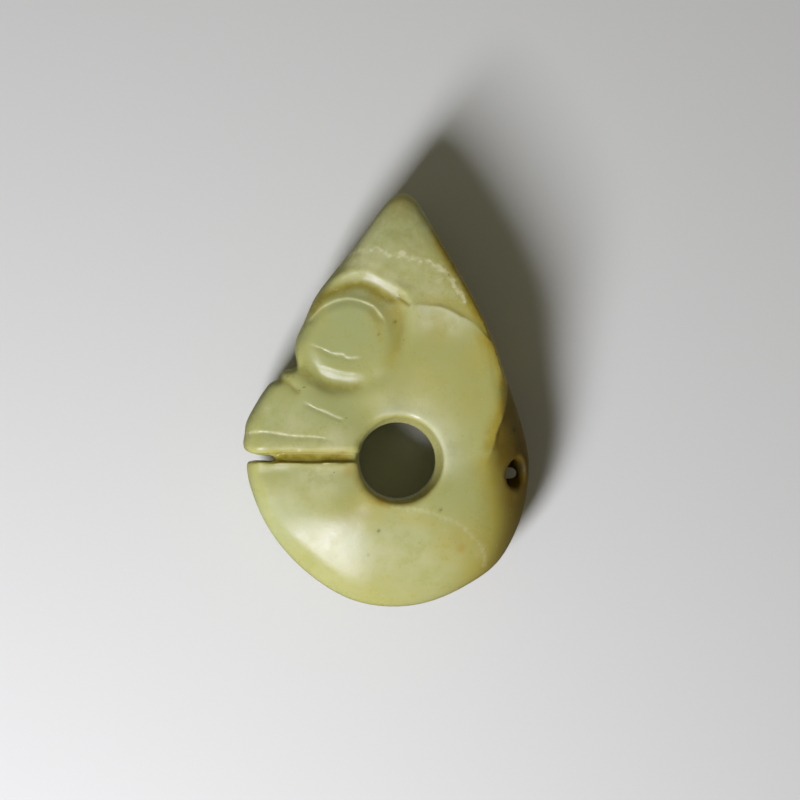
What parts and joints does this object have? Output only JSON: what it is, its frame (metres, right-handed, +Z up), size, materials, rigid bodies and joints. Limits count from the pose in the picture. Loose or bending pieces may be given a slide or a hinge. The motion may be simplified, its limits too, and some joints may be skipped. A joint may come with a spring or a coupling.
{
  "type": "jade pig dragon carving",
  "caption": "Thick coiled jade pig dragon with a large head, pointed ears and a round middle hole, pierced at the nape for a cord.",
  "frame": {"origin": "middle of the height and width of the carving, on the surface it lies on", "axes": "+Z up through the thickness, from the side that rests to the side that shows; +Y towards the tips of the ears; +X towards the nape, so the face looks to -X"},
  "size_m": [0.0693, 0.1001, 0.032],
  "materials": {
    "jade": "polished"
  },
  "bodies": {
    "root": {"pig_dragon": "jade"}
  },
  "joints": []
}
